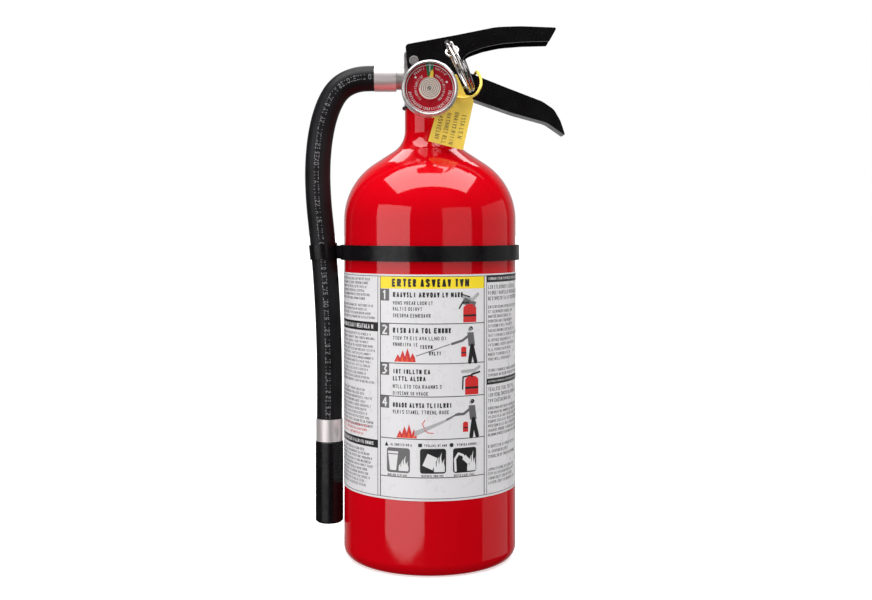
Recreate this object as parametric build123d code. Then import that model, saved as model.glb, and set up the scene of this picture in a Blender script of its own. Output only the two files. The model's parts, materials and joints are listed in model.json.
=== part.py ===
from build123d import *
import math
import os

# A hand-held dry-chemical fire extinguisher, in millimetres.
# Origin: centre of the foot ring, on the floor. +Z is up the cylinder axis, the gauge faces -Y,
# the handles point along +X and the hose leaves along -X.

# ---- driving dimensions ----
cylinder_r = 57.15        # 4.5 in cylinder
wall = 3.0
base_corner_r = 8.2
foot_inner_r = 38.0       # the foot ring's inner edge
base_crown = 3.5          # height of the dished base at the axis
shoulder_z = 222.9        # where the straight wall ends
dome_r = 44.58            # radius of the shoulder's arc
dome_sweep = 57.0         # degrees of that arc
neck_r = 16.6
neck_top_z = 296.6
neck_fillet_r = 16.7

label_z = (48.3, 188.7)
label_film = 0.15
label_gap = 22.0          # between the label's ends

band_z = (196.6, 206.4)
band_r = 59.7
clip_wall = 0.9

hose_r = 8.5
hose_bore_r = 4.8
outlet_z = 317.6
ferrule_r = 8.95
ferrule_x = (-36.9, -21.8)
outlet_neck_r = 7.65

gauge_z = 305.3
gauge_r = 17.9
pointer_rest = 7.7        # degrees clockwise of the top

head_half = 7.5           # half the valve head's thickness, between the handle's ears
sheet = 1.5
handle_half = 9.1         # outer half widths of the two channels
lever_half = 11.0
strap_hole_at = (21.5, 309.8)   # X, Z of the tamper seal's hole in the handle's front wall
strap_hole_r = 1.7
pivot = (-10.5, 328.0)    # X, Z of the lever's hinge
handle_rivet_at = (10.0, 315.0)
rivet_r = 2.4
stem_r = 2.5
pin_r = 1.6
pin_at = (13.2, 335.6)    # X, Z of the pull pin
squeeze = 10.0            # the lever's travel, degrees

running = 0.05            # radial clearance of a running fit
seat_z = 309.0            # the valve seat
chamber_r = 8.0
adapter_z = (272.0, 286.0)

# ---- helpers ----
os.makedirs("parts", exist_ok=True)


def save(node, solid):
    """Write one sub-part; the file's name is the node's name."""
    solid.label = node
    export_step(solid, f"parts/{node}.step")


def turned(points):
    """A solid of revolution about Z from a closed (r, z) outline."""
    outline = Polyline([(r, 0, z) for r, z in points], close=True)
    return revolve(make_face(outline), Axis.Z)


def rod(r, start, end):
    """A round bar between two points."""
    line = Line(start, end)
    return sweep(Plane(start, z_dir=line % 0) * Circle(r), path=line)


def ring(outer_r, inner_r, start, end):
    """A round tube between two points."""
    return rod(outer_r, start, end) - rod(inner_r, start, end)


def plate(points, half, corner=0.0):
    """A plate from an (x, z) outline, centred on Y, with its corners rounded by one radius."""
    face = make_face(Polyline([(x, 0, z) for x, z in points], close=True))
    if corner:
        face = fillet(face.vertices(), corner)
    return extrude(face, half, dir=(0, 1, 0), both=True)


def rounded_plate(points, half):
    """A plate from an outline of (x, z, corner radius), centred on Y."""
    outline = FilletPolyline(
        *[(x, 0, z) for x, z, _ in points], radius=[r for _, _, r in points], close=True
    )
    return extrude(make_face(outline), half, dir=(0, 1, 0), both=True)


# ---- pressure vessel ----
def vessel_profile(inset):
    """The vessel's closed outline, moved inwards by the wall."""
    r = cylinder_r - inset
    corner = base_corner_r - inset
    corner_centre = (cylinder_r - base_corner_r, base_corner_r)
    dome = dome_r - inset
    dome_centre = (cylinder_r - dome_r, shoulder_z)
    turn = math.radians(dome_sweep)
    fillet_r = neck_fillet_r + inset
    fillet_x = neck_r + neck_fillet_r
    cone_run = (
        dome_centre[0] + dome_r * math.cos(turn) - fillet_x + neck_fillet_r * math.cos(turn)
    ) / math.sin(turn)
    fillet_z = (
        dome_centre[1] + dome_r * math.sin(turn) + cone_run * math.cos(turn)
        + neck_fillet_r * math.sin(turn)
    )

    def at(centre, radius, degrees):
        a = math.radians(degrees)
        return (centre[0] + radius * math.cos(a), 0, centre[1] + radius * math.sin(a))

    top = neck_top_z + (inset > 0)
    axis_low = (0, 0, base_crown + inset)
    foot = (foot_inner_r, 0, inset)
    fillet_centre = (fillet_x, fillet_z)
    end_of_dome = at(dome_centre, dome, dome_sweep)
    start_of_fillet = at(fillet_centre, fillet_r, 180 + dome_sweep)
    neck_start = at(fillet_centre, fillet_r, 180)
    return [
        ThreePointArc(axis_low, (foot_inner_r * 0.55, 0, base_crown * 0.72 + inset), foot),
        Line(foot, at(corner_centre, corner, -90)),
        ThreePointArc(*(at(corner_centre, corner, a) for a in (-90, -45, 0))),
        Line((r, 0, base_corner_r), (r, 0, shoulder_z)),
        ThreePointArc(*(at(dome_centre, dome, a) for a in (0, dome_sweep / 2, dome_sweep))),
        Line(end_of_dome, start_of_fillet),
        ThreePointArc(
            start_of_fillet, at(fillet_centre, fillet_r, 180 + dome_sweep / 2), neck_start
        ),
        Line(neck_start, (neck_start[0], 0, top)),
        Line((neck_start[0], 0, top), (0, 0, top)),
        Line((0, 0, top), axis_low),
    ]


def vessel():
    outer = revolve(make_face(vessel_profile(0)), Axis.Z)
    inner = revolve(make_face(vessel_profile(wall)), Axis.Z)
    return outer - inner


neck_joint_z = 268.5      # where the neck meets the shoulder
neck_zone = Pos(0, 0, neck_joint_z) * Cylinder(
    60, 60, align=(Align.CENTER, Align.CENTER, Align.MIN)
)
whole_vessel = vessel()
save("cylinder", whole_vessel - neck_zone)
save("cylinder_neck", whole_vessel & neck_zone)
bore_r = neck_r - wall


def instruction_label():
    """A thin film round the straight wall, with a gap between its two ends at the back."""
    film = ring(cylinder_r + label_film, cylinder_r, (0, 0, label_z[0]), (0, 0, label_z[1]))
    height = label_z[1] - label_z[0] + 2
    gap = Pos(0, cylinder_r, sum(label_z) / 2) * Box(label_gap, 2 * wall, height)
    return film - gap


save("instruction_label", instruction_label())

gasket_top = neck_top_z + 1.7
save("neck_gasket", turned([
    (bore_r, neck_top_z), (18.0, neck_top_z), (18.4, neck_top_z + 0.4),
    (18.4, gasket_top - 0.4), (18.0, gasket_top), (bore_r, gasket_top),
]))


# ---- valve body ----
barrel_r = 15.4
barrel_top = 307.6
outlet_boss_x = -17.0


def valve_body():
    """A turned plug and barrel under a flat head, with the gauge's boss and the bores."""
    body = turned([
        (0, 262.0), (bore_r - 0.6, 262.0), (bore_r, 262.6), (bore_r, gasket_top),
        (17.0, gasket_top), (17.0, gasket_top + 2.4), (barrel_r, gasket_top + 4.0),
        (barrel_r, barrel_top - 1.0), (barrel_r - 1.0, barrel_top), (0, barrel_top),
    ])
    body += plate(
        [(outlet_boss_x, 309.0), (-14.0, 305.0), (14.0, 305.0), (18.6, 311.0), (18.6, 336.2),
         (-4.0, 335.4), (outlet_boss_x, 334.2)],
        head_half, corner=1.8,
    )
    body += rod(6.8, (0, 0, gauge_z), (0, -18.5, gauge_z))
    body -= rod(chamber_r, (0, 0, 260), (0, 0, seat_z))
    body -= rod(5.0, (0, 0, seat_z - 1), (0, 0, 323.0))
    body -= rod(stem_r + running, (0, 0, 320), (0, 0, 340))
    body -= rod(4.9, (0, 0, gauge_z), (0, -20, gauge_z))
    body -= rod(4.0, (0, 0, outlet_z), (-20, 0, outlet_z))
    body -= rod(5.6, (-9.0, 0, outlet_z), (-20, 0, outlet_z))
    for x, z in (pivot, handle_rivet_at):
        body -= rod(rivet_r, (x, -20, z), (x, 20, z))
    groove = pin_r + 0.4
    notch = rod(groove, (pin_at[0], -20, pin_at[1]), (pin_at[0], 20, pin_at[1]))
    notch += Pos(pin_at[0], 0, pin_at[1] + 5) * Box(2 * groove, 40, 10)
    return body - notch


save("valve_body", valve_body())

tube_r = 6.0
socket_depth = 10.0
save("tube_adapter", ring(chamber_r, 4.2, (0, 0, adapter_z[0]), (0, 0, adapter_z[1]))
     - rod(tube_r, (0, 0, adapter_z[0]), (0, 0, adapter_z[0] + socket_depth)))
save("siphon_tube", ring(tube_r, 4.8, (0, 0, 18.0), (0, 0, adapter_z[0] + socket_depth)))

# ---- valve stem, its seal and its spring ----
stem_top = 339.6
flange_z = (304.4, 306.2)
save("valve_stem", turned([
    (0, flange_z[0] - 2.0), (3.4, flange_z[0] - 2.0), (3.4, flange_z[0]), (6.8, flange_z[0]),
    (6.8, flange_z[1]), (stem_r, flange_z[1]), (stem_r, stem_top - 1.6),
    (1.4, stem_top - 0.3), (0.7, stem_top), (0, stem_top),
]))
save("stem_seal", turned([
    (stem_r, flange_z[1]), (6.8, flange_z[1]), (6.2, seat_z - 0.3), (stem_r, seat_z - 0.3),
]))


def coil_spring(mean_r, wire_r, low, high, turns):
    """An open coil between two flat seats."""
    pitch = (high - low - 2 * wire_r - 0.2) / turns
    helix = Helix(pitch, pitch * turns, mean_r)
    wire = Plane(helix @ 0, z_dir=helix % 0) * Circle(wire_r)
    return Pos(0, 0, low + wire_r + 0.1) * sweep(wire, path=helix, is_frenet=True)


save("stem_spring", coil_spring(5.2, 0.6, adapter_z[1], flange_z[0], 5))


# ---- pressure gauge ----
def facing(points):
    """A turned solid about the gauge's axis; points are (radius, y)."""
    outline = Polyline([(r, y, gauge_z) for r, y in points], close=True)
    return revolve(make_face(outline), Axis((0, 0, gauge_z), (0, 1, 0)))


case_back = -36.4
rim_y = -44.0
nut_y = -32.4
nut = extrude(
    Plane((0, nut_y, gauge_z), z_dir=(0, -1, 0)) * RegularPolygon(8.0, 6), nut_y - case_back
)
save("gauge_stem", nut + rod(4.9, (0, -10.0, gauge_z), (0, nut_y, gauge_z))
     - rod(1.5, (0, -8.0, gauge_z), (0, case_back + 1.2, gauge_z)))
save("gauge_case", facing([
    (0, case_back), (15.4, case_back), (17.2, case_back - 0.4), (gauge_r, case_back - 1.4),
    (gauge_r, rim_y), (16.6, rim_y), (16.6, case_back - 1.8), (0, case_back - 1.8),
]))
save("gauge_bezel", facing([
    (16.6, rim_y), (gauge_r, rim_y), (17.7, -48.4), (17.1, -49.7), (16.6, -50.0),
    (15.7, -49.6), (15.7, -49.0), (16.6, -49.0),
]))
dial_y = -45.6
save("gauge_dial", facing([(0, dial_y + 0.6), (16.6, dial_y + 0.6), (16.6, dial_y), (0, dial_y)]))
save("gauge_coil", facing([(0, dial_y), (6.8, dial_y), (6.6, dial_y - 0.8), (0, dial_y - 1.0)]))
save("gauge_lens", facing([(0, -48.2), (16.6, -48.2), (16.6, -49.0), (0, -49.0)]))


def gauge_pointer():
    """A flat needle with a hub, turned to the charged reading."""
    half_outline = [(0.9, 0), (1.15, 6.6), (0.95, 10.4), (0, 12.0)]
    points = half_outline + [(-x, z) for x, z in half_outline[-2::-1]]
    blade = make_face(Polyline([(x, 0, z) for x, z in points], close=True))
    needle = Pos(0, dial_y - 1.4, 0) * extrude(blade, 0.35, dir=(0, -1, 0))
    needle += rod(1.6, (0, dial_y - 1.4, 0), (0, dial_y - 2.0, 0))
    return Pos(0, 0, gauge_z) * Rot(0, pointer_rest, 0) * needle


save("gauge_pointer", gauge_pointer())


# ---- carry handle and lever, two pressed-steel channels ----
# Outlines in X, Z, each point with its corner's radius.
handle_outline = [
    (-14.6, 322.6, 3.0), (-14.6, 331.6, 4.0), (-6.4, 331.6, 4.0), (6.0, 327.4, 8.0),
    (24.4, 320.8, 30.0), (52.0, 309.8, 60.0), (74.4, 301.2, 14.0), (82.0, 296.0, 10.0),
    (86.4, 288.4, 12.0), (89.6, 278.6, 0.4), (77.3, 287.2, 14.0), (54.7, 293.4, 60.0),
    (29.0, 302.4, 40.0), (12.0, 309.0, 5.0), (7.6, 312.0, 3.0), (0.0, 313.4, 6.0),
    (-12.0, 316.0, 3.0),
]
handle_hollow = [
    (-30.0, 350.0, 1.0), (100.0, 350.0, 1.0), (100.0, 275.5, 1.0), (89.0, 280.9, 1.0),
    (77.7, 288.7, 14.0), (55.2, 294.9, 60.0), (29.6, 303.9, 40.0), (20.6, 307.4, 1.0),
    (19.4, 300.0, 1.0), (-30.0, 300.0, 1.0),
]
lever_outline = [
    (-14.6, 322.0, 3.0), (-16.2, 338.6, 2.5), (16.6, 344.6, 60.0), (44.0, 350.1, 50.0),
    (60.0, 350.6, 90.0), (83.8, 349.7, 1.0), (78.8, 340.7, 1.0), (62.0, 340.3, 60.0),
    (47.0, 339.1, 60.0), (35.0, 336.5, 40.0), (24.4, 332.6, 10.0), (16.6, 321.4, 4.0),
    (4.0, 320.6, 8.0),
]
lever_hollow = [
    (-30.0, 310.0, 1.0), (100.0, 310.0, 1.0), (100.0, 347.6, 1.0), (83.8, 348.2, 1.0),
    (60.0, 349.1, 90.0), (44.2, 348.6, 50.0), (16.9, 343.1, 60.0), (-30.0, 334.5, 1.0),
]


def channel(outline, hollow, half):
    """A channel: a block with this side outline, hollowed between its two walls."""
    return rounded_plate(outline, half) - rounded_plate(hollow, half - sheet)


def carry_handle():
    """The lower channel, riveted to the valve head and hollow upwards."""
    block = channel(handle_outline, handle_hollow, handle_half)
    for x, z in (pivot, handle_rivet_at):
        block -= rod(rivet_r, (x, -20, z), (x, 20, z))
    x, z = strap_hole_at
    return block - rod(strap_hole_r, (x, -20, z), (x, 0, z))


def pin_slot():
    """The lever's pin hole, drawn out along the arc that the lever makes about its hinge."""
    x, z = pin_at
    hole = rod(pin_r + 0.35, (x, -20, z), (x, 20, z))
    slot = hole
    steps = 6
    for step in range(1, steps + 1):
        turn = Rot(0, -squeeze * step / steps, 0)
        slot += Pos(pivot[0], 0, pivot[1]) * turn * Pos(-pivot[0], 0, -pivot[1]) * hole
    return slot


def lever():
    """The upper channel, with its hinge hole and the pin's slot."""
    block = channel(lever_outline, lever_hollow, lever_half)
    block -= rod(rivet_r + running, (pivot[0], -20, pivot[1]), (pivot[0], 20, pivot[1]))
    return block - pin_slot()


def rivet(at, half, head_r, head_height):
    """A shank across the head with a stepped head at each end."""
    x, z = at
    body = rod(rivet_r, (x, -half, z), (x, half, z))
    for side in (-1, 1):
        step = side * (half + head_height * 0.6)
        body += rod(head_r, (x, side * half, z), (x, step, z))
        body += rod(head_r - 0.8, (x, step, z), (x, side * (half + head_height), z))
    return body


save("carry_handle", carry_handle())
save("lever", lever())
save("lever_rivet", rivet(pivot, lever_half + 0.1, 3.15, 1.4))
save("handle_rivet", rod(
    rivet_r, (handle_rivet_at[0], -handle_half, handle_rivet_at[1]),
    (handle_rivet_at[0], handle_half, handle_rivet_at[1]),
))

# ---- pull pin, split ring and tamper seal ----
shank_end = Vector(pin_at[0], -15.9, pin_at[1])
eye_r = 4.0
eye_wire = 0.95
ring_r = 16.7
ring_wire = 1.05
ring_pitch = 2.2
ring_forward = 40.0       # degrees that the ring's centre hangs forward of the eye
down = Vector(0.41, 0, -0.912)
ahead = Vector(0, -1, 0)


def towards(degrees):
    """A direction in the ring's plane, turned forward from the ring's way down."""
    a = math.radians(degrees)
    return down * math.cos(a) + ahead * math.sin(a)


eye = shank_end + towards(ring_forward) * eye_r
ring_centre = eye + towards(ring_forward) * ring_r


def pull_pin():
    """A straight shank through lever and valve head, ending in a round wire eye."""
    x, z = pin_at
    body = rod(pin_r, (x, 13.0, z), shank_end)
    body += Pos(x, 13.0, z) * Sphere(pin_r)
    return body + Plane(eye, z_dir=towards(ring_forward - 90)) * Torus(eye_r, eye_wire)


def pull_ring():
    """Two turns of round wire, side by side."""
    across = down.cross(ahead)
    helix = Helix(ring_pitch, 2 * ring_pitch, ring_r)
    wire = Plane(helix @ 0, z_dir=helix % 0) * Circle(ring_wire)
    coil = Pos(0, 0, -ring_pitch) * sweep(wire, path=helix, is_frenet=True)
    return Plane(ring_centre, x_dir=towards(93), z_dir=across) * coil


save("pull_pin", pull_pin())
save("pull_ring", pull_ring())

seal_y = -28.0
seal_half = 0.4
strap_r = 0.9
seal_outline = [
    (-1.1, 273.5), (21.4, 267.7), (28.3, 299.2), (26.4, 302.9), (23.2, 303.2), (20.2, 310.0),
    (17.2, 316.6), (16.0, 316.6), (11.6, 308.0), (7.6, 303.6),
]
strap_route = [
    (13.4, -28.0, 303.6), (17.4, -29.2, 301.4), (23.4, -31.0, 300.6), (29.6, -31.0, 302.8),
    (32.9, -29.6, 308.6), (33.2, -23.0, 314.6), (31.8, -15.0, 319.0), (31.0, -9.0, 321.2),
    (29.6, -4.0, 319.4), (27.2, -1.4, 314.8), (23.4, -2.0, 310.8), (21.5, -7.0, 309.8),
    (20.9, -12.0, 309.7), (18.4, -17.0, 309.2), (17.2, -23.0, 309.2), (17.0, -28.0, 309.6),
]


def corner_radii(points, share=0.45):
    """The largest arc at each corner that leaves a share of both its runs to the arcs."""
    corners = [Vector(*p) for p in points]
    radii = []
    for before, at, after in zip(corners, corners[1:], corners[2:]):
        incoming, outgoing = at - before, after - at
        turn = math.radians(incoming.get_angle(outgoing))
        radii.append(share * min(incoming.length, outgoing.length) / math.tan(turn / 2))
    return radii


def tamper_seal():
    """A flat tag with a strap that goes over the handle's front wall and back through its hole."""
    tag = Pos(0, seal_y, 0) * plate(seal_outline, seal_half)
    route = FilletPolyline(*strap_route, radius=corner_radii(strap_route))
    strap = sweep(Plane(route @ 0, z_dir=route % 0) * Circle(strap_r), path=route)
    return tag + strap


save("tamper_seal", tamper_seal())

# ---- hose, its ferrules and the nozzle ----
hose_route = [
    (-23.0, 0, outlet_z), (-36.0, 0, outlet_z), (-50.0, 0, 317.0), (-61.6, 0, 310.6),
    (-69.0, 0, 297.0), (-73.4, 0, 279.0), (-75.2, 0, 258.0), (-74.5, 0, 236.0),
    (-72.0, 0, 213.0), (-69.9, 0, 190.0), (-68.4, 0, 166.0), (-67.4, 0, 142.0),
    (-67.0, 0, 118.0), (-67.1, 0, 97.5), (-67.1, 0, 77.6),
]


def hose():
    """A rubber tube along the route, from inside the upper ferrule to the nozzle."""
    route = FilletPolyline(*hose_route, radius=corner_radii(hose_route))
    start = Plane(route @ 0, z_dir=route % 0)
    return sweep(start * (Circle(hose_r) - Circle(hose_bore_r)), path=route)


save("hose", hose())

save("outlet_fitting",
     ring(outlet_neck_r, 3.2, (ferrule_x[1] - 0.6, 0, outlet_z), (outlet_boss_x, 0, outlet_z))
     + ring(5.6, 3.2, (outlet_boss_x, 0, outlet_z), (-9.0, 0, outlet_z))
     + ring(hose_bore_r, 3.2, (-34.0, 0, outlet_z), (ferrule_x[1] - 0.6, 0, outlet_z)))
save("upper_ferrule",
     ring(ferrule_r, hose_r, (ferrule_x[0], 0, outlet_z), (-23.0, 0, outlet_z))
     + ring(ferrule_r, hose_bore_r, (-23.0, 0, outlet_z), (ferrule_x[1] - 0.6, 0, outlet_z)))

nozzle_r = 9.25
nozzle_z = (21.6, 75.8)
ferrule_z = (75.8, 90.5)
lower_end = Vector(*hose_route[-1])
tilt = (Vector(*hose_route[-2]) - lower_end).normalized()


def along(z):
    """The point at this height on the hose's last run, carried on straight."""
    return lower_end + tilt * ((z - lower_end.Z) / tilt.Z)


save("lower_ferrule",
     ring(ferrule_r, hose_r, lower_end, along(ferrule_z[1]))
     + ring(ferrule_r, hose_bore_r, along(ferrule_z[0]), lower_end))


def nozzle():
    """A round plastic tube with a narrow throat and a mouth that widens downwards."""
    low, high = nozzle_z
    outline = [
        (nozzle_r - 1.2, low), (nozzle_r, low + 1.2), (nozzle_r, high - 0.8),
        (nozzle_r - 0.8, high), (hose_bore_r, high), (hose_bore_r, high + 9.0), (3.6, high + 9.0),
        (3.6, high - 6.0), (6.2, low + 24.0), (6.2, low),
    ]
    return Plane(along(0), x_dir=(1, 0, 0), z_dir=tilt) * turned(outline)


save("nozzle", nozzle())

# ---- band round the cylinder, with a loop for the hose ----
hose_at_band = Vector(-71.0, 0, 202.0)
hose_way = (Vector(*hose_route[8]) - Vector(*hose_route[9])).normalized()


def hose_clip():
    """A flat band with a short web on one side that carries the loop round the hose."""
    low, high = band_z
    band = ring(band_r, cylinder_r, (0, 0, low), (0, 0, high))
    half = hose_way * ((high - low) / 2)
    loop_r = hose_r + 0.1 + clip_wall
    web = Pos(-60.6, 0, (low + high) / 2) * Box(4.4, 7.0, high - low - 1.0)
    loop = rod(loop_r, hose_at_band - half, hose_at_band + half)
    hole = rod(hose_r + 0.1, hose_at_band - half * 1.5, hose_at_band + half * 1.5)
    return band + (loop + web - hole)


save("hose_clip", hose_clip())
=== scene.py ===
"""Looks of a hand-held fire extinguisher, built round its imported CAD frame.

Blender's own lengths are in metres. Shapes and places that this script lays out itself are in mm,
and are scaled by MM where they become vertices.
"""
import json
import math
import random

import bmesh
import bpy
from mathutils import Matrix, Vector

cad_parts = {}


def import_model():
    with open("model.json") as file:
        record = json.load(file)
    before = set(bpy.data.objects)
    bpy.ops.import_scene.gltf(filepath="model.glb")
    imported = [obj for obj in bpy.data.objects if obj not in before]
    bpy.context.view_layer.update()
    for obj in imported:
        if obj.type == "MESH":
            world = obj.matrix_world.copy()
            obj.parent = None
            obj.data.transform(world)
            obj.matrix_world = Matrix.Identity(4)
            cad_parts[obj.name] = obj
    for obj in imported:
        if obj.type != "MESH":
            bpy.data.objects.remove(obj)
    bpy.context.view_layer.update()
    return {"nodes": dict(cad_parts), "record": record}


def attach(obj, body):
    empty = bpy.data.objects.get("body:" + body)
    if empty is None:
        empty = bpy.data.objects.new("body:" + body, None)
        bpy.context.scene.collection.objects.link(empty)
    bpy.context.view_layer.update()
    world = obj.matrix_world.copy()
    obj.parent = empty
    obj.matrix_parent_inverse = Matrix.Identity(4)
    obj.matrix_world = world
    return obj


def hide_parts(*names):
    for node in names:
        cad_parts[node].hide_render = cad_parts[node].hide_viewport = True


MM = 0.001

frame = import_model()
nodes = frame["nodes"]

# ---- camera: level, in front of the gauge, its frame shifted to where the object stands ----
camera = bpy.data.objects.new("camera", bpy.data.cameras.new("camera"))
bpy.context.scene.collection.objects.link(camera)
bpy.context.scene.camera = camera
camera.location = (0, -0.76834, 0.2176)
camera.rotation_euler = (math.pi / 2, 0, 0)
camera.data.sensor_width = 36.0
camera.data.lens = 47.43
camera.data.shift_x = 0.0071
camera.data.shift_y = -0.0827
camera.data.clip_start = 0.01
bpy.context.scene.view_settings.view_transform = "Standard"


# ---- materials ----
NOISE_SPAN = (0.35, 0.65)     # where nearly all of a noise texture's values lie


class Look:
    """A Principled material with helpers that add noise, bumps and tints to it."""

    def __init__(self, name, colour, rough, metallic=0.0):
        self.material = bpy.data.materials.new(name)
        self.material.use_nodes = True
        self.tree = self.material.node_tree
        self.shader = self.tree.nodes["Principled BSDF"]
        self.colour = (*colour, 1.0)
        self.set("Base Color", self.colour)
        self.set("Roughness", rough)
        self.set("Metallic", metallic)

    def set(self, socket, value):
        self.shader.inputs[socket].default_value = value
        return self

    def add(self, kind, **inputs):
        node = self.tree.nodes.new(kind)
        for socket, value in inputs.items():
            node.inputs[socket.replace("_", " ")].default_value = value
        return node

    def link(self, output, target):
        self.tree.links.new(output, target)

    def noise(self, scale, stretch=(1, 1, 1), detail=3.0):
        """Noise in the object's own coordinates, finer with a higher scale or with a stretch above 1."""
        place = self.add("ShaderNodeTexCoord").outputs["Object"]
        mapping = self.add("ShaderNodeMapping", Scale=stretch)
        self.link(place, mapping.inputs["Vector"])
        noise = self.add("ShaderNodeTexNoise", Scale=scale, Detail=detail, Roughness=0.55)
        self.link(mapping.outputs["Vector"], noise.inputs["Vector"])
        return noise.outputs["Fac"]

    def spread(self, fac, low, high):
        """The noise drawn out to run from low to high."""
        start, end = NOISE_SPAN
        node = self.add("ShaderNodeMapRange", From_Min=start, From_Max=end, To_Min=low, To_Max=high)
        self.link(fac, node.inputs["Value"])
        return node.outputs["Result"]

    def bump(self, height, distance, strength):
        """A bump on top of the bumps that the look already has."""
        node = self.add("ShaderNodeBump", Strength=strength, Distance=distance)
        self.link(height, node.inputs["Height"])
        last = self.shader.inputs["Normal"].links
        if last:
            self.link(last[0].from_socket, node.inputs["Normal"])
        self.link(node.outputs["Normal"], self.shader.inputs["Normal"])
        return self

    def uneven_gloss(self, fac, low, high):
        """Roughness that drifts between low and high."""
        self.link(self.spread(fac, low, high), self.shader.inputs["Roughness"])
        return self

    def tint(self, fac, other):
        """The base colour drifts towards another colour with the noise."""
        mix = self.add("ShaderNodeMix")
        mix.data_type = "RGBA"
        mix.inputs["A"].default_value = self.colour
        mix.inputs["B"].default_value = (*other, 1.0)
        self.link(self.spread(fac, 0.0, 1.0), mix.inputs["Factor"])
        self.link(mix.outputs["Result"], self.shader.inputs["Base Color"])
        return self


def enamel():
    """Glossy red paint with a slight ripple."""
    look = Look("red_enamel", (0.57, 0.0006, 0.006), 0.06).set("Specular IOR Level", 0.55)
    look.tint(look.noise(14, detail=2), (0.53, 0.0005, 0.005))
    look.bump(look.noise(75, detail=2), 0.00012, 0.12)
    look.bump(look.noise(420, detail=2), 0.00004, 0.12)
    return look.uneven_gloss(look.noise(60), 0.045, 0.085)


def powder_coat():
    """Satin black paint with a fine grain."""
    look = Look("black_enamel", (0.004, 0.0035, 0.004), 0.24).set("Specular IOR Level", 0.3)
    look.bump(look.noise(2400, detail=2), 0.00003, 0.3)
    return look.uneven_gloss(look.noise(90), 0.20, 0.30)


def cast():
    """The die-cast valve: dull, cloudy and slightly pitted."""
    look = Look("cast_metal", (0.62, 0.60, 0.59), 0.42, metallic=0.85)
    look.tint(look.noise(160), (0.50, 0.48, 0.47))
    look.bump(look.noise(1500, detail=2), 0.00006, 0.5)
    return look.uneven_gloss(look.noise(300), 0.36, 0.52)


def brushed(name, colour, rough, stretch, metallic=0.9):
    """Metal with a fine grain, drawn out along any axis whose stretch is low."""
    look = Look(name, colour, rough, metallic=metallic)
    grain = look.noise(2600, stretch=stretch, detail=2)
    look.tint(grain, tuple(0.9 * c for c in colour))
    look.bump(grain, 0.00001, 0.15)
    return look.uneven_gloss(grain, rough - 0.06, rough + 0.10)


def drawn_wire(name, colour, rough):
    """Bright wire, smooth, with faint cloudy patches."""
    look = Look(name, colour, rough, metallic=1.0)
    look.tint(look.noise(300, detail=1), tuple(0.88 * c for c in colour))
    return look.uneven_gloss(look.noise(120), rough - 0.05, rough + 0.05)


def rubber():
    """The hose: fine lines along it, a little grain, and greyer patches."""
    look = Look("hose_rubber", (0.006, 0.005, 0.006), 0.40).set("Specular IOR Level", 0.22)
    lines = look.noise(700, stretch=(1, 1, 0.05), detail=2)
    look.bump(lines, 0.00005, 0.5)
    look.bump(look.noise(2200, detail=1), 0.00004, 0.5)
    look.tint(look.noise(40), (0.011, 0.010, 0.012))
    return look.uneven_gloss(lines, 0.36, 0.48)


def moulded(name, colour, rough, grain=1200):
    """Moulded plastic or rubber with a fine texture."""
    look = Look(name, colour, rough)
    look.bump(look.noise(grain, detail=2), 0.00004, 0.4)
    look.tint(look.noise(50), tuple(0.86 * c for c in colour))
    return look.uneven_gloss(look.noise(140), rough - 0.05, rough + 0.07)


def printed(name, colour, rough):
    """Ink on the vinyl label: its grain shows a little in the gloss."""
    look = Look(name, colour, rough)
    return look.uneven_gloss(look.noise(200), rough - 0.04, rough + 0.05)


def clear():
    """The lens: nearly all see-through, with a faint sheen."""
    look = Look("clear_lens", (0.02, 0.02, 0.02), 0.04).set("Alpha", 0.07).set("Specular IOR Level", 1.0)
    return look.uneven_gloss(look.noise(200), 0.02, 0.06)


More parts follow.
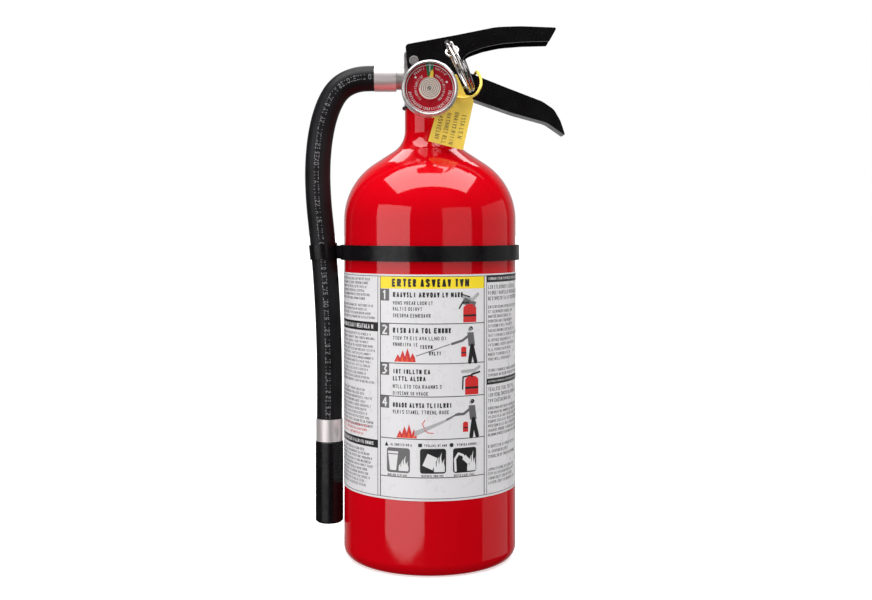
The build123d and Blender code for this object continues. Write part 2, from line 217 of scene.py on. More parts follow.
looks = {
    "red_enamel": enamel(),
    "black_enamel": powder_coat(),
    "cast_metal": cast(),
    "turned_metal": brushed("turned_metal", (0.60, 0.60, 0.61), 0.3, (1, 1, 6)),
    "spring_steel": brushed("spring_steel", (0.45, 0.45, 0.46), 0.3, (1, 1, 1)),
    "gauge_brass": brushed("gauge_brass", (0.72, 0.54, 0.26), 0.3, (1, 0.1, 1)),
    "plated_steel": brushed("plated_steel", (0.70, 0.68, 0.67), 0.26, (1, 0.1, 1), metallic=0.75),
    "ring_steel": drawn_wire("ring_steel", (0.68, 0.65, 0.64), 0.20),
    "coil_metal": brushed("coil_metal", (0.95, 0.79, 0.69), 0.40, (1, 0.1, 1), metallic=0.2),
    # painted shade: the dark spiral on the gauge cap stands for the shade in the gaps between the pressure
    # coil's turns
    "painted_coil_shade": printed("painted_coil_shade", (0.20, 0.15, 0.13), 0.45),
    "ferrule_metal": brushed("ferrule_metal", (0.95, 0.88, 0.88), 0.36, (1, 1, 5), metallic=0.7),
    "hose_rubber": rubber(),
    "black_rubber": moulded("black_rubber", (0.02, 0.02, 0.02), 0.6),
    "black_plastic": moulded("black_plastic", (0.005, 0.004, 0.005), 0.26).set("Specular IOR Level", 0.3),
    "tube_plastic": moulded("tube_plastic", (0.75, 0.75, 0.72), 0.5),
    "yellow_plastic": moulded("yellow_plastic", (0.98, 0.72, 0.10), 0.36, grain=700),
    "label_film": printed("label_film", (0.74, 0.725, 0.74), 0.30),
    "dial_paint": printed("dial_paint", (0.50, 0.004, 0.016), 0.30).set("Specular IOR Level", 0.15),
    "clear_lens": clear(),
    "pointer_paint": printed("pointer_paint", (0.86, 0.60, 0.05), 0.35),
    "ink_black": printed("ink_black", (0.018, 0.017, 0.018), 0.32),
    "ink_grey": printed("ink_grey", (0.13, 0.125, 0.13), 0.32),
    "ink_pale": printed("ink_pale", (0.42, 0.42, 0.43), 0.32),
    "ink_yellow": printed("ink_yellow", (0.95, 0.72, 0.016), 0.32),
    "ink_red": printed("ink_red", (0.62, 0.02, 0.02), 0.32),
    "ink_orange": printed("ink_orange", (0.80, 0.09, 0.02), 0.32),
    "ink_white": printed("ink_white", (0.74, 0.73, 0.74), 0.32),
    "ink_green": printed("ink_green", (0.012, 0.20, 0.08), 0.32),
    "dial_white": printed("dial_white", (0.95, 0.93, 0.93), 0.32),
    "seal_letters": moulded("seal_letters", (0.36, 0.24, 0.06), 0.45),
    "hose_print": printed("hose_print", (0.20, 0.20, 0.21), 0.5),
}


def dress(obj, look_name):
    obj.data.materials.clear()
    obj.data.materials.append(looks[look_name].material)


SOFT_EDGES = {      # bevel width in mm
    "lever": 0.9, "carry_handle": 0.9, "valve_body": 0.3, "hose_clip": 0.4, "outlet_fitting": 0.3,
    "tamper_seal": 0.15, "nozzle": 0.5, "upper_ferrule": 0.3, "lower_ferrule": 0.3,
}


def soften(node, width):
    bevel = node.modifiers.new("soft edges", "BEVEL")
    bevel.width = width * MM
    bevel.segments = 3
    bevel.limit_method = "ANGLE"
    bevel.angle_limit = math.radians(50)


slots = {part["node"]: part["material_slot"] for part in frame["record"]["subparts"]}
for name, node in nodes.items():
    dress(node, slots[name])
    if name in SOFT_EDGES:
        soften(node, SOFT_EDGES[name])


# ---- flat shapes for prints, as lists of (u, z) points in mm ----
def bar(u0, z0, u1, z1):
    return [(u0, z0), (u1, z0), (u1, z1), (u0, z1)]


def disc(u, z, r, steps=16):
    turns = [2 * math.pi * i / steps for i in range(steps)]
    return [(u + r * math.cos(a), z + r * math.sin(a)) for a in turns]


def run(start, end, width, past=0.0):
    """A bar from start to end, carried on a little past both."""
    (u0, z0), (u1, z1) = start, end
    length = math.hypot(u1 - u0, z1 - z0)
    along_u, along_z = (u1 - u0) / length, (z1 - z0) / length
    side_u, side_z = -along_z * width / 2, along_u * width / 2
    u0, z0 = u0 - along_u * past, z0 - along_z * past
    u1, z1 = u1 + along_u * past, z1 + along_z * past
    return [(u0 - side_u, z0 - side_z), (u1 - side_u, z1 - side_z),
            (u1 + side_u, z1 + side_z), (u0 + side_u, z0 + side_z)]


def stroke(points, width):
    """A line of one width: a bar along each run, and a disc at each point."""
    discs = [disc(u, z, width / 2, 10) for u, z in points]
    return discs + [run(a, b, width) for a, b in zip(points, points[1:])]


def rounded(u0, z0, u1, z1, r):
    """A rectangle with round corners."""
    corners = ((u1 - r, z0 + r, -90), (u1 - r, z1 - r, 0), (u0 + r, z1 - r, 90), (u0 + r, z0 + r, 180))
    return [(u + r * math.cos(math.radians(start + turn)), z + r * math.sin(math.radians(start + turn)))
            for u, z, start in corners for turn in (0, 30, 60, 90)]


def border(u0, z0, u1, z1, width):
    return [bar(u0, z0, u1, z0 + width), bar(u0, z1 - width, u1, z1),
            bar(u0, z0, u0 + width, z1), bar(u1 - width, z0, u1, z1)]


rng = random.Random(4)

# Letter-like signs as lines between points of a unit box.
SIGNS = (
    [[(0, 1), (0, 0), (1, 0)]],
    [[(1, 1), (0, 1), (0, 0), (1, 0)], [(0, 0.5), (0.8, 0.5)]],
    [[(0, 1), (1, 1)], [(0.5, 0), (0.5, 1)]],
    [[(0, 0), (0.5, 1), (1, 0)], [(0.2, 0.35), (0.8, 0.35)]],
    [[(0, 1), (0.5, 0), (1, 1)]],
    [[(0, 0), (0, 1), (1, 0), (1, 1)]],
    [[(0, 0), (0, 1), (0.9, 0.95), (0.9, 0.55), (0, 0.5), (1, 0)]],
    [[(0, 0.2), (0, 0.8), (0.3, 1), (0.7, 1), (1, 0.8), (1, 0.2), (0.7, 0), (0.3, 0), (0, 0.2)]],
    [[(1, 0.85), (0.7, 1), (0.2, 1), (0, 0.8), (1, 0.25), (0.7, 0), (0, 0.1)]],
    [[(0.5, 0), (0.5, 1)]],
)


def words(u0, z0, u1, z1, weight):
    """A line of made-up print that spells nothing. The weight is a stroke's width over the height."""
    height = z1 - z0
    thick = height * weight
    shapes = []
    u = u0
    while u < u1 - 0.6 * height:
        for _ in range(rng.randint(2, 9)):
            width = height * rng.choice((0.42, 0.50, 0.56))
            if u + width > u1:
                break
            left, foot = u + thick / 2, z0 + thick / 2
            for line in rng.choice(SIGNS):
                points = [(left + x * (width - thick), foot + y * (height - thick)) for x, y in line]
                shapes += [run(a, b, thick, past=thick * 0.3) for a, b in zip(points, points[1:])]
            u += width + 0.18 * height
        u += 0.34 * height
    return shapes


def sector(r0, r1, start, end):
    """Part of a ring, from start to end in degrees clockwise from the top."""
    steps = max(2, int(abs(end - start) / 3))
    turns = [math.radians(start + (end - start) * i / steps) for i in range(steps + 1)]
    shapes = []
    for a, b in zip(turns, turns[1:]):
        shapes.append([(r * math.sin(t), r * math.cos(t)) for r, t in ((r0, a), (r1, a), (r1, b), (r0, b))])
    return shapes


def digit(number, u, z, height):
    """A numeral of straight strokes, centred on (u, z)."""
    w, h = height * 0.27, height / 2
    top, middle, low = z + h, z, z - h
    lines = {
        1: [[(u - w * 0.6, top - h * 0.35), (u, top), (u, low)]],
        2: [[(u - w, top - h * 0.1), (u, top), (u + w, top - h * 0.4), (u - w, low), (u + w, low)]],
        3: [[(u - w, top), (u + w, top), (u, middle), (u + w, middle - h * 0.4), (u, low), (u - w, low)]],
        4: [[(u + w * 0.5, low), (u + w * 0.5, top), (u - w, middle - h * 0.3), (u + w, middle - h * 0.3)]],
    }
    shapes = []
    for line in lines[number]:
        shapes += stroke(line, height * 0.2)
    return shapes


# ---- laying prints on the object ----
CYLINDER_R = 57.15
BEND_STEP = 2.0           # prints on round surfaces are cut this often, so that they bend with the surface
CUT_MARGIN = 0.2          # a shape that reaches past a cut by less than this stays whole


def flat_mesh(shapes):
    mesh = bmesh.new()
    for shape in shapes:
        mesh.faces.new([mesh.verts.new((u, 0, z)) for u, z in shape])
    return mesh


def cut_mesh(shapes):
    """A mesh of flat shapes, cut across u so that it can bend round a cylinder."""
    mesh = flat_mesh(shapes)
    low = min(v.co.x for v in mesh.verts)
    high = max(v.co.x for v in mesh.verts)
    for index in range(math.ceil(low / BEND_STEP), math.floor(high / BEND_STEP) + 1):
        cut = index * BEND_STEP
        wide = [f for f in mesh.faces
                if min(v.co.x for v in f.verts) < cut - CUT_MARGIN
                and max(v.co.x for v in f.verts) > cut + CUT_MARGIN]
        if wide:
            edges = list(dict.fromkeys(e for f in wide for e in f.edges))
            verts = list(dict.fromkeys(v for f in wide for v in f.verts))
            bmesh.ops.bisect_plane(mesh, geom=wide + edges + verts, plane_co=(cut, 0, 0), plane_no=(1, 0, 0))
    return mesh


def face_front(mesh):
    """Turn every face towards the front."""
    for face in mesh.faces:
        face.normal_update()
        if face.normal.y > 0:
            face.normal_flip()


def settle(obj, look_name, body, stands_for=None):
    """Put a new piece in the scene with its look, hang it on the body it rides on, and hide the CAD part it
    stands for.
    """
    bpy.context.scene.collection.objects.link(obj)
    dress(obj, look_name)
    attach(obj, body)
    if stands_for:
        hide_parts(stands_for)


def mesh_object(name, mesh):
    data = bpy.data.meshes.new(name)
    mesh.to_mesh(data)
    mesh.free()
    for face in data.polygons:
        face.use_smooth = True
    return bpy.data.objects.new(name, data)


def on_label(name, shapes, look_name, lift):
    """Shapes wrapped round the cylinder; u runs to the right from the front, along the surface."""
    mesh = cut_mesh(shapes)
    radius = CYLINDER_R + lift
    for vert in mesh.verts:
        angle = vert.co.x / CYLINDER_R
        vert.co = Vector((math.sin(angle) * radius, -math.cos(angle) * radius, vert.co.z)) * MM
    for face in mesh.faces:
        face.normal_update()
        centre = face.calc_center_median()
        if face.normal.x * centre.x + face.normal.y * centre.y < 0:
            face.normal_flip()
    settle(mesh_object(name, mesh), look_name, "extinguisher")


def on_plane(name, shapes, look_name, y, centre=(0, 0), body="extinguisher"):
    """Shapes on a plane that faces the front."""
    mesh = flat_mesh(shapes)
    for vert in mesh.verts:
        vert.co = Vector((vert.co.x + centre[0], y, vert.co.z + centre[1])) * MM
    face_front(mesh)
    settle(mesh_object(name, mesh), look_name, body)


# ---- instruction label: film and print ----
LABEL_Z = (48.3, 188.7)
LABEL_HALF = 168.5        # half its length round the cylinder
FILM = 0.15               # its thickness
INK_LIFT = 0.18           # the print's height above the cylinder, and the overprint's
OVERPRINT_LIFT = 0.21


def label_film():
    """A thin film wrapped nearly all round, its ends apart at the back."""
    mesh = bmesh.new()
    steps = 240
    inner, outer = CYLINDER_R, CYLINDER_R + FILM
    rings = []
    for index in range(steps + 1):
        angle = (index / steps * 2 - 1) * LABEL_HALF / CYLINDER_R
        rings.append([
            mesh.verts.new(Vector((math.sin(angle) * r, -math.cos(angle) * r, z)) * MM)
            for r, z in ((inner, LABEL_Z[0]), (outer, LABEL_Z[0]), (outer, LABEL_Z[1]), (inner, LABEL_Z[1]))
        ])
    for before, after in zip(rings, rings[1:]):
        for i in range(4):
            j = (i + 1) % 4
            mesh.faces.new((before[i], before[j], after[j], after[i]))
    mesh.faces.new(rings[0])
    mesh.faces.new(rings[-1])
    bmesh.ops.recalc_face_normals(mesh, faces=mesh.faces)
    film = mesh_object("label_film", mesh)
    film.data.set_sharp_from_angle(angle=math.radians(40))
    settle(film, "label_film", "extinguisher", stands_for="instruction_label")


ink = {colour: [] for colour in ("black", "grey", "pale", "yellow", "red", "orange")}
over = {colour: [] for colour in ("white", "black")}      # printed over the blocks of colour
PANEL = (-32.6, 36.5)     # the centre panel's two edges
RULE_Z = (49.8, 187.2)    # the ends of the upright rules
HEAD_Z = 179.8            # the lower edge of the panel's yellow head
DIVIDERS = (158.1, 133.4, 112.9, 86.6, 62.8)


def body_text(u0, u1, top, rows, pitch, height, ragged=0.25, colour="black"):
    """Rows of small print. Each ends short of u1 by up to the ragged share of the width."""
    for row in range(rows):
        z = top - row * pitch
        end = u1 - rng.uniform(0, ragged) * (u1 - u0)
        ink[colour].extend(words(u0, z - height, end, z, weight=0.15))


def panels():
    """The centre panel: a yellow head, four numbered fields with rules between them, and two more rows."""
    u0, u1 = PANEL
    ink["yellow"].append(bar(u0, HEAD_Z, u1, RULE_Z[1]))
    over["black"].extend(words(-24.3, 180.9, 27.7, 186.0, weight=0.24))
    for z in DIVIDERS:
        ink["black"].append(bar(u0, z - 0.25, u1, z + 0.25))
    for u in PANEL:
        ink["black"].append(bar(u - 0.3, RULE_Z[0], u + 0.3, RULE_Z[1]))
    for number, top in enumerate((HEAD_Z,) + DIVIDERS[:3], start=1):
        ink["grey"].append(bar(u0, top - 7.6, u0 + 6.4, top - 0.2))
        over["white"].extend(digit(number, u0 + 3.2, top - 3.9, 5.0))


def headings():
    """The lines beside the four numbers, each as its left end, right end, top and height."""
    bold = [(-23.6, 21.1, 177.7, 3.3), (-23.6, 14.5, 155.6, 3.4), (-23.6, 1.3, 129.9, 3.0),
            (-23.6, -1.1, 125.5, 3.0), (-23.6, 17.1, 109.1, 3.1)]
    plain = [(-23.6, 2.0, 172.1, 2.3), (-23.6, -4.2, 168.4, 2.3), (-23.6, 0.7, 164.3, 2.4),
             (-23.6, 11.3, 150.3, 2.4), (-23.6, -6.7, 146.4, 2.4), (-23.6, 8.2, 120.3, 2.4),
             (-23.6, 0.1, 116.0, 2.3), (-23.6, 13.2, 104.5, 2.4)]
    for u0, u1, top, height in bold:
        ink["black"].extend(words(u0, top - height, u1, top, weight=0.23))
    for u0, u1, top, height in plain:
        ink["black"].extend(words(u0, top - height, u1, top, weight=0.16))


def small_extinguisher(u, z, size, share=0.38, valve=True):
    """A red extinguisher with its foot at (u, z). The share is its half width to its size."""
    r = share * size
    dome = [(u + r * math.cos(a), z + 0.72 * size + 0.6 * r * math.sin(a))
            for a in [math.pi * i / 8 for i in range(9)]]
    ink["red"].append([(u - r, z), (u + r, z)] + dome)
    over["black"].append(bar(u - r, z + 0.30 * size, u + r, z + 0.40 * size))
    if valve:
        lever = [(u, z + 0.9 * size), (u, z + 1.02 * size), (u + 1.2 * r, z + 1.12 * size)]
        tube = [(u, z + 0.98 * size), (u - 1.3 * r, z + 0.9 * size), (u - 1.35 * r, z + 0.3 * size)]
        ink["black"].extend(stroke(lever, 0.10 * size))
        ink["black"].extend(stroke(tube, 0.08 * size))


def flames(u, z, width, height):
    """A group of tongues of flame, red with orange hearts."""
    for share, tall in ((0.12, 0.55), (0.36, 0.85), (0.60, 1.0), (0.85, 0.65)):
        middle, half = u + share * width, 0.17 * width
        ink["red"].append([
            (middle - half, z), (middle + half, z), (middle + half * 0.8, z + tall * height * 0.45),
            (middle + half * 0.1, z + tall * height), (middle - half * 0.5, z + tall * height * 0.5),
        ])
        ink["orange"].append([
            (middle - half * 0.5, z + 0.1), (middle + half * 0.5, z + 0.1), (middle, z + tall * height * 0.5),
        ])


def figure(u, z, height, hand):
    """A standing person: head, grey jacket, black legs, and an arm held out to the hand's place."""
    ink["pale"].append(disc(u - 0.02 * height, z + 0.92 * height, 0.06 * height))
    ink["black"].append(disc(u + 0.02 * height, z + 0.95 * height, 0.06 * height))
    ink["grey"].append([
        (u - 0.10 * height, z + 0.84 * height), (u + 0.10 * height, z + 0.84 * height),
        (u + 0.15 * height, z + 0.45 * height), (u - 0.06 * height, z + 0.45 * height),
    ])
    hip = (u + 0.05 * height, z + 0.46 * height)
    for foot in (-0.02, 0.17):
        ink["black"].extend(stroke([hip, (u + foot * height, z)], 0.12 * height))
    shoulder, elbow = (u - 0.04 * height, z + 0.76 * height), (u - 0.24 * height, z + 0.62 * height)
    ink["grey"].extend(stroke([shoulder, elbow, hand], 0.07 * height))


def pictures():
    """One picture in each numbered field: pull the pin, aim, squeeze and sweep."""
    # 1: a hand draws the pin
    small_extinguisher(25.8, 158.8, 12.0, valve=False)
    ink["black"].extend(stroke([(18.6, 167.6), (20.8, 171.2), (25.0, 171.0)], 1.0))
    ink["grey"].append([(20.0, 170.4), (29.2, 168.0), (30.4, 171.2), (22.0, 174.4)])
    ink["pale"].extend(stroke([(21.0, 174.6), (27.8, 172.8), (31.6, 176.2)], 2.2))
    ink["black"].extend(stroke([(20.2, 176.2), (25.6, 174.6)], 0.9))
    # 2: a person aims at the foot of the fire
    flames(-22.0, 134.4, 13.0, 8.6)
    ink["black"].extend(stroke([(-8.4, 138.2), (12.4, 145.4)], 0.45))
    for u0, z0, u1 in ((-6.0, 142.6, 3.0), (-0.4, 138.6, 7.6)):
        ink["black"].extend(words(u0, z0, u1, z0 + 2.4, weight=0.22))
    figure(26.2, 134.0, 22.0, (13.9, 145.6))
    small_extinguisher(21.6, 137.4, 7.4, share=0.24, valve=False)
    # 3: a hand squeezes the lever
    small_extinguisher(27.2, 113.6, 12.4)
    ink["pale"].extend(stroke([(20.6, 128.2), (29.0, 128.6), (32.6, 130.6)], 2.0))
    # 4: a person sweeps the jet from side to side
    flames(-20.6, 87.2, 12.4, 8.6)
    ink["pale"].append([(-9.6, 91.6), (-9.6, 88.2), (14.6, 99.6), (14.6, 100.6)])
    ink["grey"].extend(stroke([(10.6, 98.8), (18.4, 102.4)], 1.0))
    for sweep in ([(-3.4, 93.6), (-4.6, 96.2), (-3.0, 98.4)], [(-3.2, 92.2), (-1.0, 90.6), (2.2, 90.4)]):
        ink["red"].extend(stroke(sweep, 0.5))
    figure(27.2, 87.6, 23.0, (16.6, 101.6))
    small_extinguisher(22.8, 90.6, 7.4, share=0.24, valve=False)


def white_flame(u, z, width, height):
    """Four curling tongues side by side, with dark between them."""
    half = 0.13 * width
    for share, tall in ((0.12, 0.50), (0.38, 0.80), (0.64, 1.0), (0.90, 0.66)):
        middle, top = u + share * width, tall * height
        over["white"].append([
            (middle - half, z), (middle + half, z), (middle + half * 1.2, z + top * 0.35),
            (middle + half * 0.4, z + top * 0.7), (middle + half * 0.9, z + top),
            (middle - half * 0.7, z + top * 0.72), (middle - half * 1.1, z + top * 0.35),
        ])


def class_icons():
    """Three square pictures: a burning bin, a burning can and a burning plug, each with its sign above."""
    boxes = ((-27.8, -12.4, "grey"), (-6.1, 10.1, "black"), (14.5, 30.3, "black"))
    for u0, u1, colour in boxes:
        ink[colour].append(rounded(u0, 65.4, u1, 80.8, 1.6))
        ink["black"].extend(words(u0 + 2.6, 82.0, u1 + 1.4, 83.6, weight=0.2))
        ink["black"].extend(words(u0 + 0.6, 63.2, u1 - 0.6, 64.6, weight=0.2))
    ink["black"].append([(-29.4, 81.6), (-26.6, 81.6), (-28.0, 84.2)])
    ink["black"].append(bar(-7.2, 81.8, -4.8, 84.0))
    ink["black"].append(disc(13.6, 82.9, 1.3))
    over["white"].append([(-25.6, 66.8), (-21.4, 66.8), (-20.2, 76.6), (-26.8, 76.6)])
    over["white"].append(bar(-27.0, 77.2, -20.0, 78.6))
    white_flame(-19.6, 66.6, 6.0, 9.6)
    over["white"].append([(-4.6, 70.4), (1.6, 67.6), (4.8, 75.0), (-1.4, 77.8)])
    white_flame(2.6, 66.4, 6.4, 12.2)
    over["white"].extend(stroke([(16.2, 66.8), (15.8, 74.0), (18.0, 77.4), (21.0, 76.2), (22.6, 73.2)], 1.4))
    over["white"].append([(20.6, 73.8), (24.6, 70.2), (26.4, 72.6), (22.6, 76.4)])
    white_flame(24.0, 66.2, 5.6, 12.6)


LEFT_COLUMN, RIGHT_COLUMN = (-83.0, -34.4), (38.4, 88.0)
BACK_COLUMNS = ((-160.0, -124.0), (-121.0, -85.5), (90.5, 124.0), (127.0, 160.0))
BLACK_BARS = ((LEFT_COLUMN, ((152.6, 158.3), (79.5, 84.5))), (RIGHT_COLUMN, ((183.3, 187.8), (118.7, 122.5))))
# Paragraphs, each as its top, rows, pitch and height, and for some how ragged they are and their colour.
LEFT_TEXT = ((186.0, 6, 2.5, 1.6), (169.2, 4, 2.5, 1.6), (151.0, 13, 2.5, 1.6), (115.6, 10, 2.5, 1.6),
             (93.0, 3, 2.6, 1.6, 0.25, "red"), (77.8, 10, 2.5, 1.6))
RIGHT_TEXT = ((181.4, 3, 3.6, 2.4), (168.6, 12, 3.0, 1.9, 0.5), (128.4, 2, 2.9, 1.8),
              (116.8, 3, 3.6, 2.4, 0.5), (104.6, 7, 2.8, 1.8), (80.6, 3, 3.2, 2.0, 0.6),
              (66.0, 4, 2.8, 1.8, 0.4))
BACK_TEXT = ((177.0, 16, 2.8, 1.6), (128.0, 12, 2.8, 1.6), (88.0, 10, 2.8, 1.6))


def side_columns():
    """Small print in a ruled column on each side of the centre panel, and in four more towards the back."""
    for (u0, u1), bars in BLACK_BARS:
        ink["black"].append(bar(u0, RULE_Z[0], u0 + 0.4, RULE_Z[1]))
        ink["black"].append(bar(u1 - 0.4, RULE_Z[0], u1, RULE_Z[1]))
        for z0, z1 in bars:
            ink["black"].append(bar(u0, z0, u1, z1))
            over["white"].extend(words(u0 + 1.6, z0 + 1.4, u1 - 3, z1 - 1.4, weight=0.2))
    for paragraph in LEFT_TEXT:
        body_text(LEFT_COLUMN[0] + 1.2, LEFT_COLUMN[1] - 0.8, *paragraph)
    for paragraph in RIGHT_TEXT:
        body_text(RIGHT_COLUMN[0] + 1.4, RIGHT_COLUMN[1] - 1.0, *paragraph)
    for u0, u1 in BACK_COLUMNS:
        ink["black"].append(bar(u0, 180.6, u1, 185.4))
        for paragraph in BACK_TEXT:
            body_text(u0, u1, *paragraph)


def label():
    label_film()
    panels()
    headings()
    pictures()
    class_icons()
    side_columns()
    ink["black"].extend(border(-166.0, 49.6, 166.0, 187.6, 0.35))
    for colour, shapes in ink.items():
        on_label(f"print_{colour}", shapes, f"ink_{colour}", INK_LIFT)
    for colour, shapes in over.items():
        on_label(f"overprint_{colour}", shapes, f"ink_{colour}", OVERPRINT_LIFT)


label()

# ---- pressure gauge face ----
GAUGE_AT = (0, 305.3)
DIAL_Y = -45.6            # the dial's face
HUB_Y = -47.95            # the front of the hub's cap
# Rows of print round the dial, each as its inner and outer radius and its start, end and step in degrees.
DIAL_ROWS = ((8.2, 9.8, 24, 150, 7.0), (8.2, 9.8, -140, -30, 7.0), (11.9, 13.8, 96, 264, 6.0),
             (12.4, 13.8, -48, -16, 6.0), (12.4, 13.8, 16, 48, 6.0))


def dial_letters():
    """Marks like small letters round the dial: an upright each, and most with one bar."""
    letters = []
    for r0, r1, start, end, step in DIAL_ROWS:
        turn = start
        while turn < end:
            wide = step * rng.choice((0.35, 0.6, 0.66))
            letters += sector(r0, r1, turn, turn + wide * 0.45)
            if wide > 0.5 * step:
                level = rng.choice((r0, (r0 + r1) / 2 - 0.25, r1 - 0.5))
                letters += sector(level, level + 0.5, turn, turn + wide)
            turn += step
    return letters


def gauge_face():
    ring_line = sector(14.6, 15.0, 0, 360)
    marks = sector(10.8, 12.0, -55, -49) + sector(10.8, 12.0, 66, 72)
    layers = (
        ("dial_edge", sector(15.75, 16.4, 0, 360), "ink_red", 0.02),
        ("dial_green", sector(7.6, 16.0, -10, 10), "ink_green", 0.03),
        ("dial_print", ring_line + marks + dial_letters(), "dial_white", 0.05),
        ("dial_tick", sector(10.6, 15.6, -1.2, 1.2), "dial_white", 0.06),
    )
    for name, shapes, look_name, lift in layers:
        on_plane(name, shapes, look_name, DIAL_Y - lift, GAUGE_AT)


def gauge_hub():
    """The round cap over the pointer's foot. The pressure coil's turns are not shaped: a dark spiral is
    painted on the flat cap as painted shade in the gaps between them.
    """
    turns, steps = 4.5, 150
    line = []
    for step in range(steps + 1):
        turn = step / steps * turns * 2 * math.pi
        r = 1.0 + 5.6 * step / steps
        line.append((r * math.cos(turn), r * math.sin(turn)))
    on_plane("gauge_cap", [disc(0, 0, 6.9, 48)], "coil_metal", HUB_Y, GAUGE_AT)
    # painted shade: a dark spiral line on the flat cap, where the gaps between the coil's turns would fall in
    # shade
    on_plane("gauge_cap_coil_shade", stroke(line, 0.42), "painted_coil_shade", HUB_Y - 0.07, GAUGE_AT)
    on_plane("gauge_cap_pin", [disc(0, 0, 1.1, 24)], "plated_steel", HUB_Y - 0.11, GAUGE_AT)


gauge_face()
gauge_hub()

# ---- rivet stamp, painted as shade ----
RIVET_AT = (-10.5, 328.0)
RIVET_FACE_Y = -12.56


def painted_rivet_shade():
    """Painted shade on the rivet's head: flat grey marks where the stamped ring and three notches lie,
    standing for the shade in them; the head itself is not cut.
    """
    marks = sector(1.5, 1.85, 0, 360)
    for turn in (20, 140, 260):
        marks += sector(0.3, 1.6, turn - 8, turn + 8)
    # painted shade: grey ink where the stamp's recesses would be dark
    on_plane("painted_rivet_shade", marks, "ink_grey", RIVET_FACE_Y, RIVET_AT)


painted_rivet_shade()


# ---- pieces swept along a curve ----
def swept(name, points, radius, roundness, steps):
    """A round curve through a line of control points, which are in mm."""
    data = bpy.data.curves.new(name, "CURVE")
    data.dimensions = "3D"
    data.bevel_depth = radius * MM
    data.bevel_resolution = roundness
    data.resolution_u = steps
    data.use_fill_caps = True
    line = data.splines.new("NURBS")
    line.points.add(len(points) - 1)
    for point, place in zip(line.points, points):
        point.co = (*(Vector(place) * MM), 1)
    line.order_u = 3
    line.use_endpoint_u = True
    return bpy.data.objects.new(name, data)


# ---- split ring ----
RING_R = 16.75            # to the wire's middle
RING_WIRE_R = 1.0
RING_CENTRE = Vector((19.701, -29.206, 321.138))
RING_DOWN = Vector((0.41, 0, -0.912))
RING_AHEAD = Vector((0, -1, 0))
RING_ACROSS = Vector((0.912, 0, 0.41))


def split_ring():
    """Two turns of bright wire that lie further apart at the top, where they pass through the pin's eye."""
    steps = 96
    points = []
    for index in range(steps + 1):
        turns = 2 * index / steps
        angle = math.radians(93) + turns * 2 * math.pi
        gap = 2.35 - 0.35 * math.cos(angle)
        points.append(RING_CENTRE + (RING_DOWN * math.cos(angle) + RING_AHEAD * math.sin(angle)) * RING_R
                      + RING_ACROSS * gap * (turns - 1))
    ring = swept("split_ring", points, RING_WIRE_R, roundness=5, steps=3)
    settle(ring, "ring_steel", "ring", stands_for="pull_ring")


split_ring()


# ---- hose ----
HOSE_R = 8.5
HOSE_ROUTE = [            # (x, z) of its control points, from the outlet to the nozzle
    (-23, 317.6), (-36, 317.6), (-50, 317.0), (-61.6, 310.6), (-69, 297), (-73.4, 279), (-75.2, 258),
    (-74.5, 236), (-72, 213), (-69.9, 190), (-68.4, 166), (-67.4, 142), (-67.0, 118), (-67.1, 97.5),
    (-67.1, 77.6),
]


def hose():
    tube = swept("hose_tube", [(x, 0, z) for x, z in HOSE_ROUTE], HOSE_R, roundness=12, steps=16)
    settle(tube, "hose_rubber", "extinguisher", stands_for="hose")


def centreline(points):
    """Places on the smooth line that the tube follows through its control points, and the way on at each."""
    samples = []
    pieces = 12
    for index in range(1, len(points) - 1):
        before, middle, after = (Vector(p) for p in points[index - 1:index + 2])
        start = before if index == 1 else (before + middle) / 2
        end = after if index == len(points) - 2 else (middle + after) / 2
        for step in range(pieces):
            t = step / pieces
            place = start * (1 - t) ** 2 + middle * 2 * t * (1 - t) + end * t * t
            samples.append((place, ((middle - start) * (1 - t) + (end - middle) * t).normalized()))
    return samples


def hose_print():
    """One line of small pale print along the hose's front."""
    samples = centreline(HOSE_ROUTE)
    reach = [0.0]
    for (a, _), (b, _) in zip(samples, samples[1:]):
        reach.append(reach[-1] + (b - a).length)
    total = reach[-1]
    mesh = cut_mesh(words(8, -1.9, total - 8, 1.5, weight=0.13))
    radius = HOSE_R + 0.04
    for vert in mesh.verts:
        along = total - vert.co.x
        index = max(i for i, r in enumerate(reach) if r <= along or i == 0)
        place, way = samples[index]
        place = place + way * (along - reach[index])
        side = Vector((way.y, -way.x))
        angle = -vert.co.z / HOSE_R
        flat = place + side * radius * math.sin(angle)
        vert.co = Vector((flat.x, -radius * math.cos(angle), flat.y)) * MM
    face_front(mesh)
    settle(mesh_object("hose_lettering", mesh), "hose_print", "extinguisher")


hose()
hose_print()


# ---- tamper seal lettering ----
SEAL_DOWN, SEAL_ACROSS = Vector((-0.214, -0.977)), Vector((0.968, -0.25))
SEAL_CORNER = Vector((4.7, 299.9))
SEAL_PRINT_Y = -28.45
SEAL_LINES = ((17.8, 5.0, 22.0), (13.0, 4.4, 26.0), (8.2, 6.0, 27.0), (3.4, 9.0, 27.0))


def seal_lettering():
    """Four lines of print that run down the tag, each as its place across the tag, its start and its end."""
    shapes = []
    for offset, start, end in SEAL_LINES:
        for letter in words(start, offset, end, offset + 2.9, weight=0.15):
            shapes.append([tuple(SEAL_CORNER + SEAL_DOWN * u + SEAL_ACROSS * z) for u, z in letter])
    on_plane("seal_lettering", shapes, "seal_letters", SEAL_PRINT_Y, body="seal")


seal_lettering()


# ---- floor and backdrop ----
BACKDROP_SIZE = 60        # metres
SHADOW_REACH = (0.06, 0.16)     # metres from the centre, over which the shadow fades out


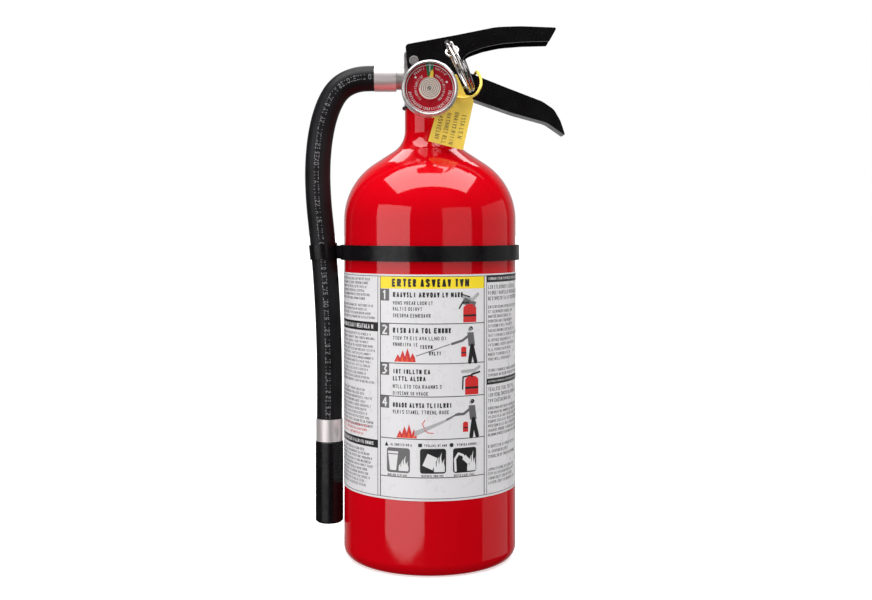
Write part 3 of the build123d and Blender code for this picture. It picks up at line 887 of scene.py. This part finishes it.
def floor():
    """A white sweep under the object that shows a faint shadow near it and turns plain white further out."""
    bpy.ops.mesh.primitive_plane_add(size=BACKDROP_SIZE, location=(0, 0, 0))
    plane = bpy.context.object
    plane.name = "floor"
    look = Look("floor", (0.9, 0.9, 0.9), 1.0).set("Specular IOR Level", 0.0)
    look.set("Emission Color", (1, 1, 1, 1))
    place = look.add("ShaderNodeTexCoord").outputs["Object"]
    length = look.add("ShaderNodeVectorMath")
    length.operation = "LENGTH"
    look.link(place, length.inputs[0])
    start, end = SHADOW_REACH
    near = look.add("ShaderNodeMapRange", From_Min=start, From_Max=end, To_Min=0.55, To_Max=1.0)
    look.link(length.outputs["Value"], near.inputs["Value"])
    look.link(near.outputs["Result"], look.shader.inputs["Emission Strength"])
    plane.data.materials.append(look.material)
    plane.visible_glossy = False
    plane.visible_diffuse = False
    plane.visible_shadow = False


def world():
    """White to the camera, soft white light on matte surfaces, and dark where surfaces mirror it."""
    made = bpy.data.worlds.new("studio")
    bpy.context.scene.world = made
    made.use_nodes = True
    tree = made.node_tree
    tree.nodes.clear()
    output = tree.nodes.new("ShaderNodeOutputWorld")
    path = tree.nodes.new("ShaderNodeLightPath")
    direction = tree.nodes.new("ShaderNodeSeparateXYZ")
    tree.links.new(tree.nodes.new("ShaderNodeTexCoord").outputs["Generated"], direction.inputs[0])

    def background(colour, strength):
        node = tree.nodes.new("ShaderNodeBackground")
        node.inputs["Color"].default_value = (*colour, 1)
        node.inputs["Strength"].default_value = strength
        return node.outputs[0]

    def faded(axis, start, end, low, high):
        """A white background whose strength runs from low to high along one axis of the direction."""
        shade = background((1, 1, 1), 0.0)
        fade = tree.nodes.new("ShaderNodeMapRange")
        for socket, value in (("From Min", start), ("From Max", end), ("To Min", low), ("To Max", high)):
            fade.inputs[socket].default_value = value
        tree.links.new(direction.outputs[axis], fade.inputs["Value"])
        tree.links.new(fade.outputs["Result"], shade.node.inputs["Strength"])
        return shade

    def choose(fac, otherwise, chosen):
        mix = tree.nodes.new("ShaderNodeMixShader")
        tree.links.new(fac, mix.inputs["Fac"])
        tree.links.new(otherwise, mix.inputs[1])
        tree.links.new(chosen, mix.inputs[2])
        return mix.outputs[0]

    mirrored = faded("Y", 0.60, 1.0, 0.010, 0.50)
    ambient = faded("Z", -0.5, 0.4, 0.40, 0.60)
    shown = choose(path.outputs["Is Glossy Ray"], ambient, mirrored)
    shown = choose(path.outputs["Is Camera Ray"], shown, background((1, 1, 1), 1.0))
    tree.links.new(shown, output.inputs["Surface"])


LIT_PLACE = Vector((0, 0, 0.17))     # where the soft boxes point


def softbox(name, azimuth, elevation, distance, width, height, radiance):
    """A rectangular light that faces the object. Azimuth is from the front, positive to the right."""
    a, e = math.radians(azimuth), math.radians(elevation)
    towards = Vector((math.sin(a) * math.cos(e), -math.cos(a) * math.cos(e), math.sin(e)))
    data = bpy.data.lights.new(name, "AREA")
    data.shape = "RECTANGLE"
    data.size = width
    data.size_y = height
    data.energy = radiance * width * height * math.pi
    light = bpy.data.objects.new(name, data)
    bpy.context.scene.collection.objects.link(light)
    light.location = LIT_PLACE + towards * distance
    light.rotation_euler = towards.to_track_quat("Z", "Y").to_euler()


def lights():
    """Each soft box as its azimuth, elevation, distance, width, height and radiance."""
    softbox("left_upper_box", -49, 9, 1.2, 1.04, 0.64, 1.8)
    softbox("left_lower_box", -33, -16.6, 1.2, 1.10, 0.256, 1.8)
    softbox("right_box", 36, 8, 1.3, 0.92, 0.60, 0.62)
    softbox("far_right_box", 98, -3, 1.3, 1.25, 1.14, 0.36)
    softbox("top_box", 4, 80, 1.1, 1.9, 0.95, 4.8)
    softbox("back_box", 176, 50, 1.2, 0.9, 0.35, 3.0)


floor()
world()
lights()
